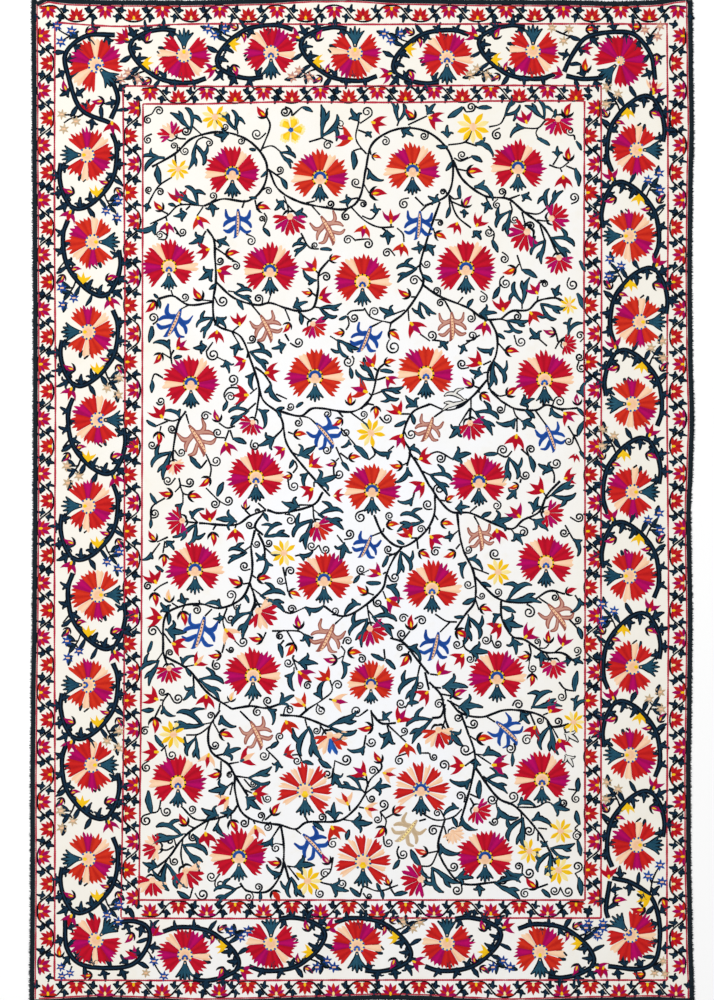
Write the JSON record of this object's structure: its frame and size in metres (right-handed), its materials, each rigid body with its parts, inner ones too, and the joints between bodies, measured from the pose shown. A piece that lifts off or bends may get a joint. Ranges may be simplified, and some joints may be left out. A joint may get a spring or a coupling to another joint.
{
  "type": "suzani embroidered textile",
  "caption": "Large rectangular suzani of joined cotton panels, worked all over with silk rosettes, vines and leafy borders, edged with a dark fringed tape.",
  "frame": {"origin": "middle of the flat back of the cloth, at the centre of its outline", "axes": "+Y towards the top of the cloth, +X to its right, +Z out of the embroidered face; the cloth lies face up"},
  "size_m": [1.6102, 2.4422, 0.002],
  "materials": {
    "karbos_cotton": "hand-loomed plain weave cotton, cream, worked with silk in chain stitch and couching",
    "dark_edging": "dark green-black woven tape with a short cut fringe, matt",
    "navy_silk": "navy-black floss silk in chain stitch, satin",
    "teal_silk": "dark teal floss silk in chain stitch, satin",
    "crimson_silk": "crimson floss silk in chain stitch, satin",
    "orange_silk": "orange-red floss silk in chain stitch, satin",
    "magenta_silk": "magenta floss silk in chain stitch, satin",
    "peach_silk": "peach floss silk in chain stitch, satin",
    "yellow_silk": "yellow floss silk in chain stitch, satin",
    "blue_silk": "blue floss silk in chain stitch, satin",
    "brown_silk": "brown-pink floss silk in chain stitch, satin",
    "red_silk": "madder-red floss silk in lines of chain stitch, satin"
  },
  "bodies": {
    "root": {"panel_1": "karbos_cotton", "panel_2": "karbos_cotton", "panel_3": "karbos_cotton", "panel_4": "karbos_cotton", "panel_5": "karbos_cotton", "panel_6": "karbos_cotton", "edging_left": "dark_edging", "edging_right": "dark_edging", "edging_top": "dark_edging", "edging_bottom": "dark_edging"}
  },
  "joints": []
}
